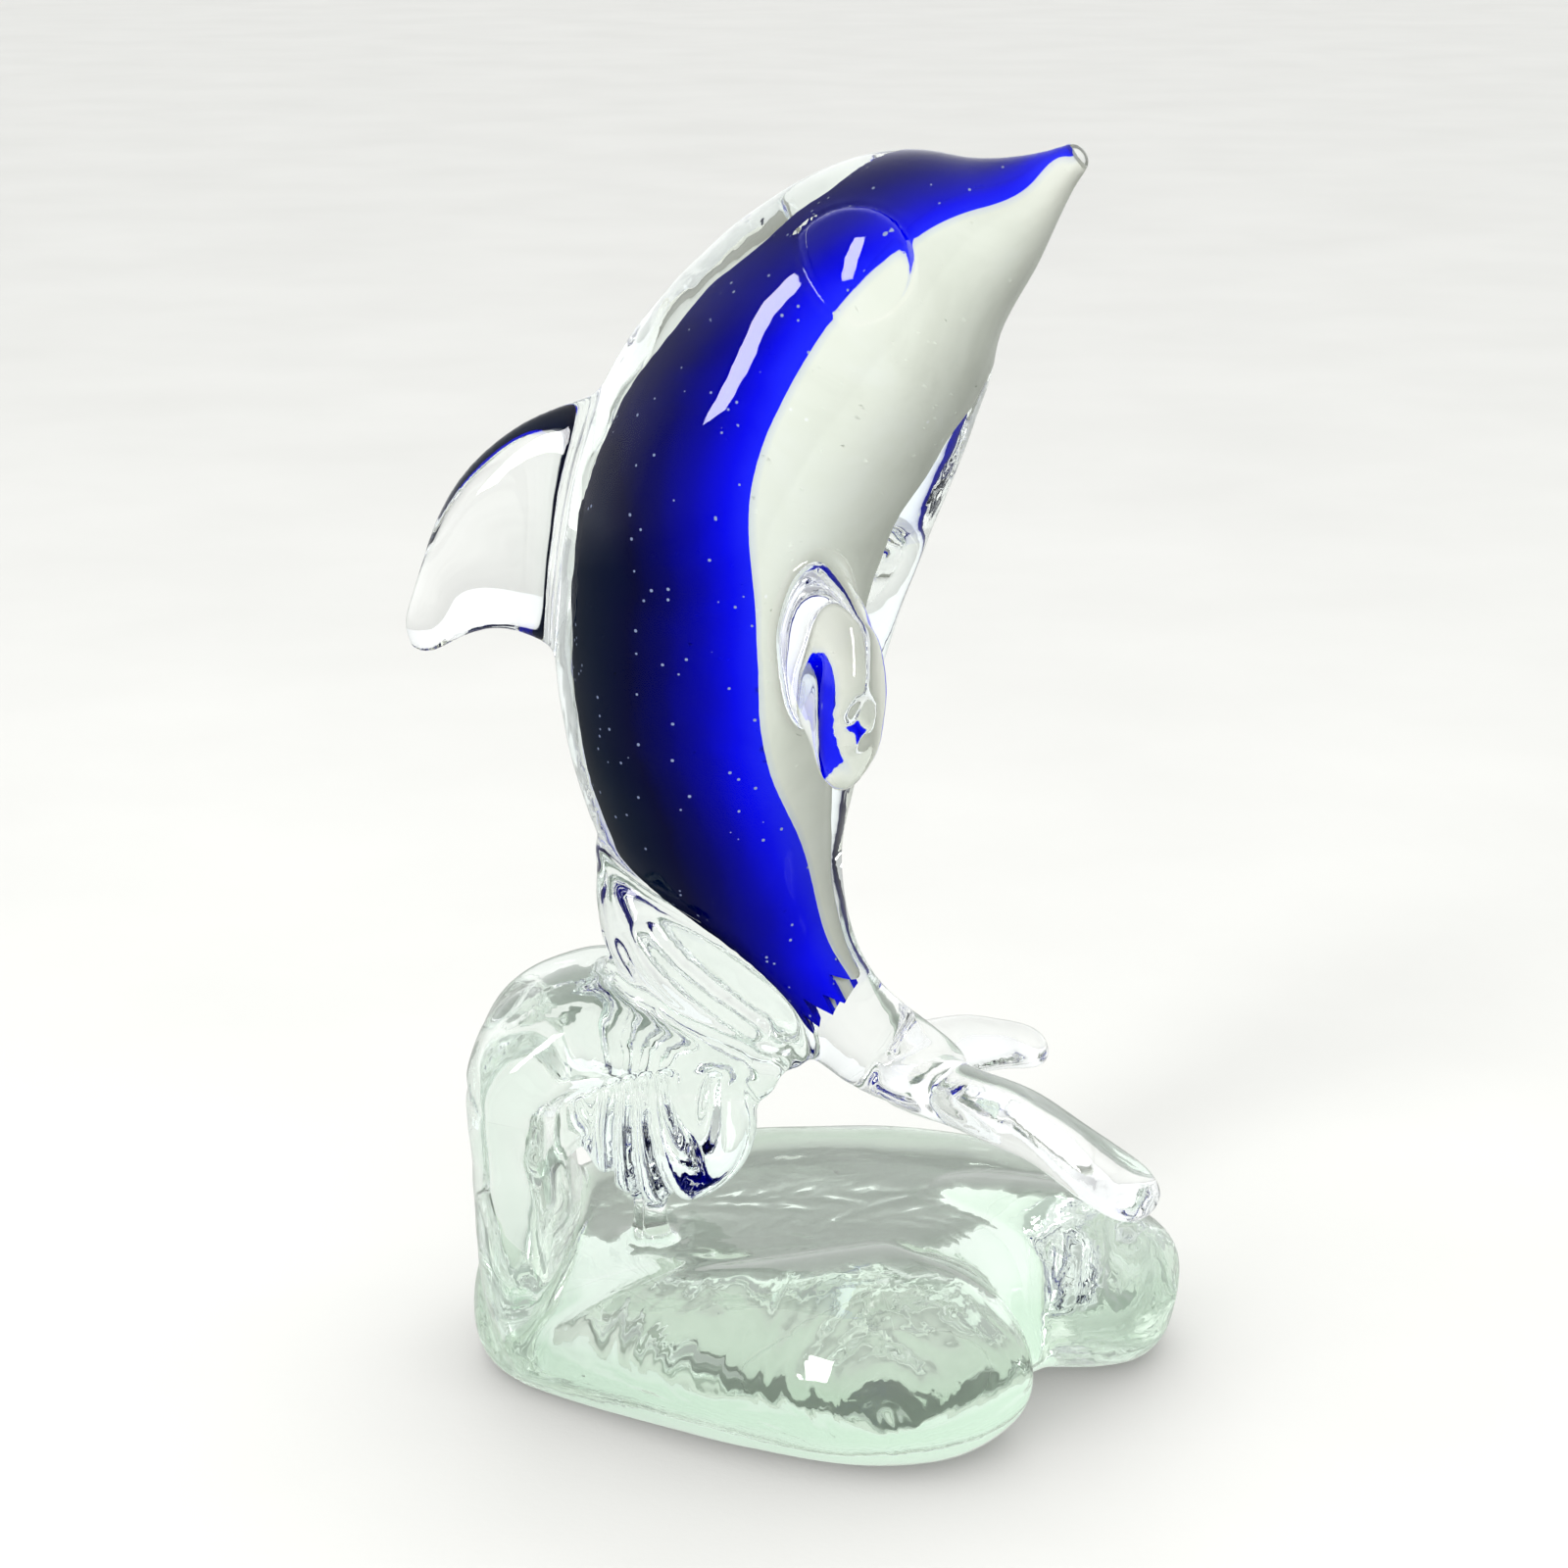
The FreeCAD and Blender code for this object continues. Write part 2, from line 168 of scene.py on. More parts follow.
def joined(name, meshes):
    """Several meshes as one piece."""
    bm = bmesh.new()
    for mesh in meshes:
        bm.from_mesh(mesh)
    mesh = bpy.data.meshes.new(name)
    bm.to_mesh(mesh)
    bm.free()
    return new_piece(name, mesh)


def coordinates(mesh):
    """Vertices as an array of rows x, y, z."""
    co = np.empty(len(mesh.vertices) * 3, np.float32)
    mesh.vertices.foreach_get("co", co)
    return co.reshape(-1, 3)


def normals(mesh):
    """Vertex normals as an array of rows x, y, z."""
    out = np.empty(len(mesh.vertices) * 3, np.float32)
    mesh.vertices.foreach_get("normal", out)
    return out.reshape(-1, 3)


def give_slot(piece, slot):
    """Puts all of a piece's faces in one material slot."""
    piece.data.polygons.foreach_set("material_index", [slot] * len(piece.data.polygons))
    piece.data.update()


def tree_of(piece_or_mesh):
    """Search tree over a mesh, for nearest points and rays."""
    mesh = getattr(piece_or_mesh, "data", piece_or_mesh)
    corners = [tuple(v.co) for v in mesh.vertices]
    return BVHTree.FromPolygons(corners, [tuple(p.vertices) for p in mesh.polygons])


def distances(points, tree):
    """From each point to the nearest place on a mesh."""
    return np.array([tree.find_nearest(Vector(p))[3] for p in points])


def ease(value, low, high):
    """Rises smoothly from 0 at low to 1 at high."""
    t = np.clip((value - low) / (high - low), 0.0, 1.0)
    return t * t * (3.0 - 2.0 * t)


class Ripple:
    """Smooth unevenness of hand-worked glass: a few crossing waves, bent by slower ones.

    The shortest and longest wave are in mm; the result lies roughly between -1 and 1.
    """

    BEND_LENGTH = 2.5            # length of the slower waves / the longest wave
    SWING = 0.25                 # how far they bend the others / the longest wave
    LEVEL = 1.8                  # brings the average of the waves up to about 1

    def __init__(self, seed, shortest, longest, count):
        draw = np.random.default_rng(seed)
        way = draw.normal(size=(count, 3))
        way /= np.linalg.norm(way, axis=1)[:, None]
        lengths = draw.uniform(shortest, longest, count) * MM
        self.waves = way * (2.0 * math.pi / lengths)[:, None]
        self.phases = draw.uniform(0.0, 2.0 * math.pi, count)
        self.bend = draw.normal(size=(3, 3)) * (2.0 * math.pi / (self.BEND_LENGTH * longest * MM))
        self.swing = self.SWING * longest * MM

    def __call__(self, points):
        bent = points + self.swing * np.sin(points @ self.bend.T)
        return np.sin(bent @ self.waves.T + self.phases).mean(axis=1) * self.LEVEL


# ---------------------------------------------------------------- one skin over all the glass
skins = {node: outer_skin(node) for node in GLASS_NODES}
whole = joined("whole_skin", skins.values())
remesh(whole, VOXEL)
swell(whole, FILLET)
remesh(whole, VOXEL)
swell(whole, -FILLET)
remesh(whole, VOXEL)
smooth(whole, SKIN_ROUNDS)
settle(whole)

# how unevenly each part of the skin was worked, in mm unless it says otherwise
BODY_RIPPLE = 0.10
FIN_RIPPLE = 0.25
WAVE_RIPPLE = 0.50
BASE_RIPPLE = 0.40
UNDERSIDE_DIMPLE = 0.20
BODY_MARGIN = (0.3 * MM, 3.0 * MM)       # off the body's skin, where its calm surface ends
BASE_MARGIN = (-4.0 * MM, 6.0 * MM)      # about the top of the front lobe
COLLAR_MARGIN = 10.0 * MM                # above the collar
RESTING = (0.2 * MM, 1.0 * MM)           # heights between which the underside ends
FACING_DOWN = (0.75, 0.95)               # how squarely a face of the underside looks down
EYE_GROOVE = 0.45                # pressed round the rim of each eye lens
EYE_GROOVE_REACH = 1.3           # from the lens to the outer side of that groove
FOLD_DEPTH = 1.7                 # of the creases down the crest's roll
FOLD_WIDTH = 1.5
FOLD_PITCH = 8.5                 # from one crease to the next
FOLD_PLACE = 0.34                # of one of them along the roll's box, from its outer end
FOLD_LEAN = 0.45                 # how far a crease moves along for each mm up
FOLD_SWAY = 5.0                  # along the roll, for one radian of the change of that lean
ROLL_MARGIN = (0.5 * MM, 2.0 * MM)       # off the roll's skin, where its creases fade out

# the waves it is made of: seed, shortest and longest in mm, how many
UPPER_WAVES = (4, 9.0, 26.0, 9)
BASE_WAVES = (9, 17.0, 44.0, 9)
UNDERSIDE_WAVES = (7, 4.0, 11.0, 14)


def hand_worked(points):
    """How far outwards the unevenness of the glass moves each point."""
    slab_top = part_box("base_front_lobe")[1].z
    collar_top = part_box("crest_collar")[1].z
    off_body = ease(distances(points, tree_of(skins["body_casing"])), *BODY_MARGIN)
    low = 1.0 - ease(points[:, 2], slab_top + BASE_MARGIN[0], slab_top + BASE_MARGIN[1])
    high = ease(points[:, 2], collar_top, collar_top + COLLAR_MARGIN)
    loose = BASE_RIPPLE * low + (1.0 - low) * (WAVE_RIPPLE + (FIN_RIPPLE - WAVE_RIPPLE) * high)
    amount = (BODY_RIPPLE + (loose - BODY_RIPPLE) * off_body) * MM
    return amount * (Ripple(*UPPER_WAVES)(points) * (1.0 - low) + Ripple(*BASE_WAVES)(points) * low)


def eye_grooves(points):
    """Depth of the groove round the rim of each eye lens."""
    depth = np.zeros(len(points))
    for eye in ("left_eye", "right_eye"):
        away = distances(points, tree_of(skins[eye])) / (EYE_GROOVE_REACH * MM)
        depth += EYE_GROOVE * MM * np.sin(math.pi * np.clip(away, 0.0, 1.0)) ** 2
    return depth


def roll_creases(points):
    """Depth of the creases down the crest's roll."""
    roll_low, roll_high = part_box("crest_curl")
    fold_x = roll_low.x + FOLD_PLACE * (roll_high.x - roll_low.x)
    on_roll = 1.0 - ease(distances(points, tree_of(skins["crest_curl"])), *ROLL_MARGIN)
    lean = FOLD_LEAN * (points[:, 2] - roll_low.z) * np.sin(points[:, 0] / (FOLD_SWAY * MM))
    along = (points[:, 0] - fold_x + lean) / (FOLD_PITCH * MM)
    away = (along - np.round(along)) * FOLD_PITCH / FOLD_WIDTH
    return FOLD_DEPTH * MM * np.exp(-away ** 2) * on_roll


points = coordinates(whole.data).astype(float)
outward = normals(whole.data).astype(float)
underside = ease(-outward[:, 2], *FACING_DOWN) * (1.0 - ease(points[:, 2], *RESTING))
press = hand_worked(points) * (1.0 - underside) - eye_grooves(points) - roll_creases(points)
points += outward * press[:, None]
dimple = np.clip(0.5 + 0.5 * Ripple(*UNDERSIDE_WAVES)(points), 0.0, 1.0) ** 2
points[:, 2] += underside * dimple * UNDERSIDE_DIMPLE * MM
points[:, 2] = np.maximum(points[:, 2], 0.0)
whole.data.vertices.foreach_set("co", points.astype(np.float32).ravel())
whole.data.update()


# ---------------------------------------------------------------- glass
def add(tree, kind, inputs=None, **settings):
    """A shader node with its settings, and its inputs set or linked."""
    node = tree.nodes.new("ShaderNode" + kind)
    for key, value in settings.items():
        setattr(node, key, value)
    for key, value in (inputs or {}).items():
        if isinstance(value, bpy.types.NodeSocket):
            tree.links.new(value, node.inputs[key])
        else:
            node.inputs[key].default_value = value
    return node


def blank(name):
    """A new material and its empty node tree."""
    material = bpy.data.materials.new(name)
    material.use_nodes = True
    material.node_tree.nodes.clear()
    return material, material.node_tree


def ramp(tree, factor, stops):
    """Colour looked up along stops of (position, colour)."""
    node = add(tree, "ValToRGB", {"Fac": factor})
    while len(node.color_ramp.elements) < len(stops):
        node.color_ramp.elements.new(0.5)
    for element, (position, colour) in zip(node.color_ramp.elements, stops):
        element.position, element.color = position, (*colour, 1.0)
    return node.outputs["Color"]


def thickness_tint(tree, colour, deepest):
    """What is left of white light after the glass under this point, from its thickness in mm."""
    thick = add(tree, "Attribute", attribute_name="thick").outputs["Fac"]
    share = add(tree, "Math", {0: thick, 1: deepest}, operation="DIVIDE").outputs[0]
    stops = [(k / 4, tuple(c ** (k / 4) for c in colour)) for k in range(5)]
    return ramp(tree, share, stops)


def glass(name, colour, deepest, cords, cord_depth, haze):
    """Clear glass with cords drawn along it, a faint haze and a tint that deepens with thickness."""
    material, tree = blank(name)
    place = add(tree, "TexCoord").outputs["Object"]
    drawn = add(tree, "Mapping", {"Vector": place, "Scale": (1.0, 1.0, 0.35)}).outputs[0]
    cord = add(tree, "TexNoise", {"Vector": drawn, "Scale": cords, "Detail": 3.0,
                                  "Roughness": 0.45, "Distortion": 0.6}).outputs["Fac"]
    fine = add(tree, "TexNoise", {"Vector": place, "Scale": 700.0, "Detail": 2.0}).outputs["Fac"]
    tint = thickness_tint(tree, colour, deepest)
    streak = ramp(tree, cord, ((0.35, (0.97, 0.98, 0.975)), (0.6, (1.0, 1.0, 1.0))))
    uneven = add(tree, "Mix", {"Factor": 1.0, 6: tint, 7: streak}, data_type="RGBA",
                 blend_type="MULTIPLY").outputs[2]
    rough = add(tree, "MapRange", {"Value": fine, "From Min": 0.45, "From Max": 0.8,
                                   "To Min": 0.0, "To Max": haze}).outputs[0]
    relief = add(tree, "Bump", {"Height": cord, "Strength": 1.0,
                                "Distance": cord_depth * MM}).outputs[0]
    body = add(tree, "BsdfPrincipled", {
        "Base Color": uneven, "Roughness": rough, "Normal": relief,
        "Transmission Weight": 1.0, "IOR": GLASS_IOR,
    }).outputs[0]
    lit = add(tree, "BsdfTransparent", {"Color": LET_THROUGH}).outputs[0]
    path = add(tree, "LightPath").outputs["Is Shadow Ray"]
    shown = add(tree, "MixShader", {0: path, 1: body, 2: lit}).outputs[0]
    add(tree, "OutputMaterial", {"Surface": shown})
    return material


def fused(name):
    """The face where two pieces of one melt meet: there is nothing there to see."""
    material, tree = blank(name)
    clear = add(tree, "BsdfTransparent").outputs[0]
    add(tree, "OutputMaterial", {"Surface": clear})
    return material


GLASS_IOR = 1.5
LET_THROUGH = (0.965, 0.98, 0.97, 1.0)   # of the light that crosses one face of the glass
GLASS = {
    # colour left after the deepest mm, cords per metre, their depth in mm, haze
    "clear": ((0.90, 0.955, 0.935), 50.0, 60.0, 0.10, 0.02),
    "wave": ((0.84, 0.93, 0.875), 45.0, 70.0, 0.25, 0.03),
    "green": ((0.64, 0.80, 0.66), 50.0, 75.0, 0.35, 0.05),
}
melt_of = {node: melt for melt, nodes in MELTS.items() for node in nodes}
finish = {}
for melt, (colour, deepest, cords, depth, haze) in GLASS.items():
    finish[melt] = (glass(melt + "_glass", colour, deepest, cords, depth, haze),
                    fused(melt + "_glass_join"))


# ---------------------------------------------------------------- parting the skin into its pieces
def cutter_for(node, reach):
    """The node's solid swollen by reach, with its faces marked as joins."""
    cutter = new_piece(node + "_cutter", skins[node].copy())
    remesh(cutter, CUTTER_VOXEL)
    swell(cutter, reach)
    remesh(cutter, CUTTER_VOXEL)
    settle(cutter)
    for material in finish["clear"]:
        cutter.data.materials.append(material)
    give_slot(cutter, JOIN)
    return cutter


def middle(node):
    """Centre of a CAD node's box."""
    low_corner, high_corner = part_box(node)
    return (low_corner + high_corner) / 2


def shell_piece(name, bm_all, shell):
    """One shell of a mesh as a piece of its own."""
    bm = bm_all.copy()
    keep = {v.index for v in shell}
    bmesh.ops.delete(bm, geom=[v for v in bm.verts if v.index not in keep], context="VERTS")
    mesh = bpy.data.meshes.new(name)
    bm.to_mesh(mesh)
    bm.free()
    return new_piece(name, mesh)


for material in finish["clear"]:
    whole.data.materials.append(material)
give_slot(whole, SHOWN)
rest = new_piece("rest", whole.data.copy())
glass_pieces = {}
for node, reach in PARTING:
    cutter = cutter_for(node, reach * MM)
    piece = new_piece(node + "_glass", rest.data.copy())
    combine(piece, cutter, "INTERSECT")
    swell(cutter, JOIN_GAP)
    settle(cutter)
    combine(rest, cutter, "DIFFERENCE")
    bpy.data.objects.remove(cutter)
    glass_pieces[node] = piece

SCRAP = 300                      # vertices; a smaller shell is a crumb of the cut, and is dropped
bm = bmesh.new()
bm.from_mesh(rest.data)
bm.verts.index_update()
for shell in sorted(shells_of(bm), key=len, reverse=True):
    centre = sum((v.co for v in shell), Vector()) / len(shell)
    free = [n for n in LEFT_OVER if n not in glass_pieces]
    if len(shell) > SCRAP and free:
        node = min(free, key=lambda n: (middle(n) - centre).length)
        glass_pieces[node] = shell_piece(node + "_glass", bm, shell)
bm.free()
bpy.data.objects.remove(rest)


def smooth_seams(piece, skin, skin_tree, skin_normals):
    """Near its joins a piece takes the whole skin's normals, so that no seam shows."""
    mesh = piece.data
    bm = bmesh.new()
    bm.from_mesh(mesh)
    seam = set()
    for edge in bm.edges:
        if len({face.material_index for face in edge.link_faces}) > 1:
            edge.smooth = False
            seam.update(edge.verts)
    for face in bm.faces:
        face.smooth = True
    finder = KDTree(len(seam))
    for vertex in seam:
        finder.insert(vertex.co, vertex.index)
    finder.balance()
    bm.to_mesh(mesh)
    bm.free()
    if not seam:
        return
    found = {}
    custom = [Vector() for _ in mesh.loops]
    for polygon in mesh.polygons:
        if polygon.material_index == JOIN:
            continue
        for corner in polygon.loop_indices:
            index = mesh.loops[corner].vertex_index
            if index not in found:
                place = mesh.vertices[index].co
                found[index] = skin_normal(place, finder, skin, skin_tree, skin_normals)
            custom[corner] = found[index]
    mesh.normals_split_custom_set(custom)


def skin_normal(point, finder, skin, skin_tree, skin_normals):
    """The whole skin's normal at a point near a seam, or nothing further off."""
    if finder.find(point)[2] > SEAM_ZONE:
        return Vector()
    place, _, face, _ = skin_tree.find_nearest(point)
    corners = skin.polygons[face].vertices
    weights = poly_3d_calc([skin.vertices[c].co for c in corners], place)
    shares = (Vector(skin_normals[c]) * weight for c, weight in zip(corners, weights))
    return sum(shares, Vector()).normalized()


# the colour sits in a hollow of the casing, so the two solids don't overlap
core = joined("core_cutter", [outer_skin(node) for node in ("cobalt_back_core", "opal_belly_core")])
remesh(core, CORE_VOXEL)
swell(core, JOIN_GAP)
settle(core)
for material in finish["clear"]:
    core.data.materials.append(material)
give_slot(core, JOIN)
combine(glass_pieces["body_casing"], core, "DIFFERENCE")
bpy.data.objects.remove(core)

RAY_START = 0.02 * MM            # below the surface, so that a ray doesn't meet its own face
THICKNESS_ROUNDS = 12            # of averaging with the neighbours


def set_thickness(piece, tree):
    """How much glass lies straight behind each point, in mm."""
    mesh = piece.data
    thick = np.empty(len(mesh.vertices))
    for i, (point, outward) in enumerate(zip(coordinates(mesh), normals(mesh))):
        inward = -Vector(outward)
        far = tree.ray_cast(Vector(point) + inward * RAY_START, inward)[3]
        thick[i] = (far or 0.0) / MM
    links = np.empty(len(mesh.edges) * 2, np.int32)
    mesh.edges.foreach_get("vertices", links)
    first, second = links.reshape(-1, 2).T
    degree = np.bincount(links, minlength=len(thick))
    for _ in range(THICKNESS_ROUNDS):
        near = np.bincount(first, thick[second], len(thick))
        near = near + np.bincount(second, thick[first], len(thick))
        thick = 0.5 * thick + 0.5 * near / np.maximum(degree, 1)
    mesh.attributes.new("thick", "FLOAT", "POINT").data.foreach_set("value", thick)


skin_tree = tree_of(whole)
skin_normals = normals(whole.data)
for node, piece in glass_pieces.items():
    melt = melt_of[node]
    while len(piece.data.materials) < len(finish[melt]):
        piece.data.materials.append(None)
    for i, material in enumerate(finish[melt]):
        piece.data.materials[i] = material
    set_thickness(piece, skin_tree)
    smooth_seams(piece, whole.data, skin_tree, skin_normals)
    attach(piece, "root")
    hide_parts(node)
bpy.data.objects.remove(whole)


# ---------------------------------------------------------------- coloured core
COARSEST = 1.0 * MM              # longest edge, so that the depth of colour varies smoothly
SPLITS = 3                       # rounds of halving the edges that are longer
SHARP = math.radians(60)         # an edge bent more than this stays an edge
SLIVER = 0.04 * MM * MM          # a face this small can't mark a sharp edge
FILM = 3.4                       # mm of white that the blue covers thinly on the head
FILM_FADE = 20.0 * MM            # above the eye's lower rim, over which that film sets in
BEAK_REACH = 16.0 * MM           # from the tip, where the film gets narrow again
BEAK_LOSS = 0.75                 # part of its width that it has lost at the tip


def core_piece(node, name):
    """One colour of the core, finely enough divided to carry its depth of colour."""
    bm = bmesh.new()
    bm.from_mesh(outer_skin(node))
    for _ in range(SPLITS):
        long_edges = [e for e in bm.edges if e.calc_length() > COARSEST]
        if not long_edges:
            break
        bmesh.ops.subdivide_edges(bm, edges=long_edges, cuts=1, use_grid_fill=False)
        bmesh.ops.triangulate(bm, faces=[f for f in bm.faces if len(f.verts) > 3])
    for face in bm.faces:
        face.smooth = True
    for edge in bm.edges:
        if edge.is_manifold and edge.calc_face_angle() > SHARP:
            edge.smooth = min(face.calc_area() for face in edge.link_faces) < SLIVER
    mesh = bpy.data.meshes.new(name)
    bm.to_mesh(mesh)
    bm.free()
    piece = new_piece(name, mesh)
    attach(piece, "root")
    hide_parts(node)
    return piece


def film_width(points):
    """How far in mm the blue is drawn out over the white, which it only is on the head."""
    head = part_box("left_eye")[0].z
    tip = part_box("opal_belly_core")[1].x
    at_tip = ease(points[:, 0], tip - BEAK_REACH, tip)
    return FILM * ease(points[:, 2], head, head + FILM_FADE) * (1.0 - BEAK_LOSS * at_tip)


def set_depth(piece, other, side):
    """How thick the blue lies at each point in mm, below zero where there is none."""
    points = coordinates(piece.data)
    depth = side * distances(points, tree_of(other)) / MM + film_width(points)
    piece.data.attributes.new("depth", "FLOAT", "POINT").data.foreach_set("value", depth)


cobalt = core_piece("cobalt_back_core", "cobalt_back")
opal = core_piece("opal_belly_core", "opal_belly")
set_depth(cobalt, opal, 1.0)
set_depth(opal, cobalt, -1.0)


BLUE_REACH = 16.0                # mm of blue at which the ramp ends
BLUE_STOPS = (
    (0.0, (0.02, 0.03, 1.0)), (0.12, (0.002, 0.003, 0.85)), (0.28, (0.001, 0.001, 0.42)),
    (0.45, (0.001, 0.001, 0.17)), (0.62, (0.001, 0.002, 0.055)), (0.78, (0.001, 0.012, 0.045)),
    (1.0, (0.002, 0.030, 0.042)),
)


def speck_mask(tree, place, per_metre, size, share):
    """Sparse round specks: one in some cells of a fine lattice."""
    cells = add(tree, "TexVoronoi", {"Vector": place, "Scale": per_metre, "Randomness": 1.0})
    dot = add(tree, "Math", {0: cells.outputs["Distance"], 1: size}, operation="LESS_THAN").outputs[0]
    pick = add(tree, "SeparateColor", {"Color": cells.outputs["Color"]}).outputs["Red"]
    chosen = add(tree, "Math", {0: pick, 1: share}, operation="LESS_THAN").outputs[0]
    return add(tree, "Math", {0: dot, 1: chosen}, operation="MULTIPLY").outputs[0]


def cobalt_glass():
    """Blue that is pure where it lies thin over the white and nearly black where it is thick."""
    material, tree = blank("cobalt_glass")
    place = add(tree, "TexCoord").outputs["Object"]
    depth = add(tree, "Attribute", attribute_name="depth").outputs["Fac"]
    cloud = add(tree, "TexNoise", {"Vector": place, "Scale": 45.0, "Detail": 4.0,
                                   "Distortion": 0.8}).outputs["Fac"]
    uneven = add(tree, "MapRange", {"Value": cloud, "To Min": -1.6, "To Max": 1.6}).outputs[0]
    deep = add(tree, "Math", {0: depth, 1: uneven}, operation="ADD").outputs[0]
    share = add(tree, "Math", {0: deep, 1: BLUE_REACH}, operation="DIVIDE").outputs[0]
    blue = ramp(tree, share, BLUE_STOPS)
    speck = speck_mask(tree, place, 900.0, 0.22, 0.10)
    seeded = add(tree, "Mix", {"Factor": speck, 6: blue, 7: (0.35, 0.40, 0.62, 1.0)},
                 data_type="RGBA").outputs[2]
    body = add(tree, "BsdfPrincipled", {"Base Color": seeded, "Roughness": 0.5,
                                        "Specular IOR Level": 0.0}).outputs[0]
    add(tree, "OutputMaterial", {"Surface": body})
    return material


def opal_glass():
    """Cream white, faintly clouded, cooler where the blue shines into it."""
    material, tree = blank("opal_glass")
    place = add(tree, "TexCoord").outputs["Object"]
    cloud = add(tree, "TexNoise", {"Vector": place, "Scale": 38.0, "Detail": 5.0,
                                   "Roughness": 0.6, "Distortion": 1.2}).outputs["Fac"]
    cream = ramp(tree, cloud, ((0.3, (0.78, 0.79, 0.71)), (0.5, (0.85, 0.86, 0.78)),
                               (0.7, (0.88, 0.89, 0.83))))
    depth = add(tree, "Attribute", attribute_name="depth").outputs["Fac"]
    near_blue = add(tree, "MapRange", {"Value": depth, "From Min": -1.2, "From Max": 0.0,
                                       "To Min": 0.0, "To Max": 0.45}).outputs[0]
    cooled = add(tree, "Mix", {"Factor": near_blue, 6: cream, 7: (0.50, 0.56, 0.80, 1.0)},
                 data_type="RGBA").outputs[2]
    speck = speck_mask(tree, place, 500.0, 0.16, 0.04)
    seeded = add(tree, "Mix", {"Factor": speck, 6: cooled, 7: (0.95, 0.95, 0.93, 1.0)},
                 data_type="RGBA").outputs[2]
    covered = add(tree, "MapRange", {"Value": depth, "From Min": 0.0, "From Max": 0.12}).outputs[0]
    share = add(tree, "Math", {0: depth, 1: BLUE_REACH}, operation="DIVIDE").outputs[0]
    filmed = add(tree, "Mix", {"Factor": covered, 6: seeded, 7: ramp(tree, share, BLUE_STOPS)},
                 data_type="RGBA").outputs[2]
    body = add(tree, "BsdfPrincipled", {"Base Color": filmed, "Roughness": 0.45,
                                        "Specular IOR Level": 0.0}).outputs[0]
    add(tree, "OutputMaterial", {"Surface": body})
    return material


cobalt.data.materials.append(cobalt_glass())
opal.data.materials.append(opal_glass())


# ---------------------------------------------------------------- room
TARGET = Vector((-7.0, 0.0, 95.0)) * MM  # the camera and the lamps aim here
DISTANCE = 540.0 * MM
ELEVATION = math.radians(16.0)
FOCAL = 78.75                            # of the lens, in mm, on a sensor 36 mm wide
SENSOR = 36.0
CLIP = (0.01, 50.0)
FLOOR_RADIUS = 8.0
# panels: place, aim, width, height, power, whether the glass mirrors it, roll in degrees
PANELS = {
    "window": ((-0.62, -0.78, 0.80), TARGET, 0.20, 0.70, 5.8, True, 8.0),
    "fill_left": ((-0.6, -1.4, 0.30), TARGET, 1.0, 0.6, 9.0, False, 0.0),
    "fill_right": ((1.1, -1.1, 0.30), TARGET, 1.0, 0.6, 14.0, False, 0.0),
    "bounce": ((0.0, -0.25, 0.002), (0.0, -0.25, 1.0), 0.9, 0.9, 4.2, False, 0.0),
}
BACK_WAY = (0.25, 1.0, 0.36)             # towards the soft light behind the object
BACK_STRENGTH, BACK_ANGLE = 1.8, 70.0
LIGHT_PATHS = 24                         # bounces, enough to leave the thick base again
BLACK_LEVEL = 0.014


def studio_camera():
    """Camera in front of the dolphin's left side, level across and looking a little down."""
    data = bpy.data.cameras.new("camera")
    data.lens, data.sensor_width = FOCAL, SENSOR
    data.clip_start, data.clip_end = CLIP
    camera = bpy.data.objects.new("camera", data)
    bpy.context.scene.collection.objects.link(camera)
    back = Vector((0.0, -math.cos(ELEVATION), math.sin(ELEVATION)))
    camera.location = TARGET + DISTANCE * back
    camera.rotation_euler = (math.pi / 2 - ELEVATION, 0.0, 0.0)
    bpy.context.scene.camera = camera


def floor():
    """Plain pale paper that the figurine stands on."""
    bm = bmesh.new()
    bmesh.ops.create_circle(bm, cap_ends=True, segments=96, radius=FLOOR_RADIUS)
    mesh = bpy.data.meshes.new("floor")
    bm.to_mesh(mesh)
    bm.free()
    piece = new_piece("floor", mesh)
    material, tree = blank("floor_paper")
    place = add(tree, "TexCoord").outputs["Object"]
    mottle = add(tree, "TexNoise", {"Vector": place, "Scale": 9.0, "Detail": 6.0}).outputs["Fac"]
    pale = ramp(tree, mottle, ((0.3, (0.60, 0.60, 0.58)), (0.7, (0.63, 0.63, 0.61))))
    grain = add(tree, "TexNoise", {"Vector": place, "Scale": 900.0, "Detail": 2.0}).outputs["Fac"]
    relief = add(tree, "Bump", {"Height": grain, "Strength": 0.15, "Distance": 0.0002}).outputs[0]
    body = add(tree, "BsdfPrincipled", {"Base Color": pale, "Roughness": 0.7, "Normal": relief,
                                        "Specular IOR Level": 0.2}).outputs[0]
    add(tree, "OutputMaterial", {"Surface": body})
    mesh.materials.append(material)
    piece.visible_glossy = False


def softbox(name, place, aim, width, length, power, mirrored, roll):
    """A soft panel; one that isn't mirrored lights the object without showing in the glass."""
    data = bpy.data.lights.new(name, "AREA")
    data.shape, data.size, data.size_y = "RECTANGLE", width, length
    data.energy = power
    light = bpy.data.objects.new(name, data)
    bpy.context.scene.collection.objects.link(light)
    light.location = place
    turn = (Vector(aim) - Vector(place)).to_track_quat("-Z", "Y").to_matrix()
    light.rotation_euler = (turn @ Matrix.Rotation(math.radians(roll), 3, "Z")).to_euler()
    light.visible_camera = False
    light.visible_glossy = light.visible_transmission = mirrored


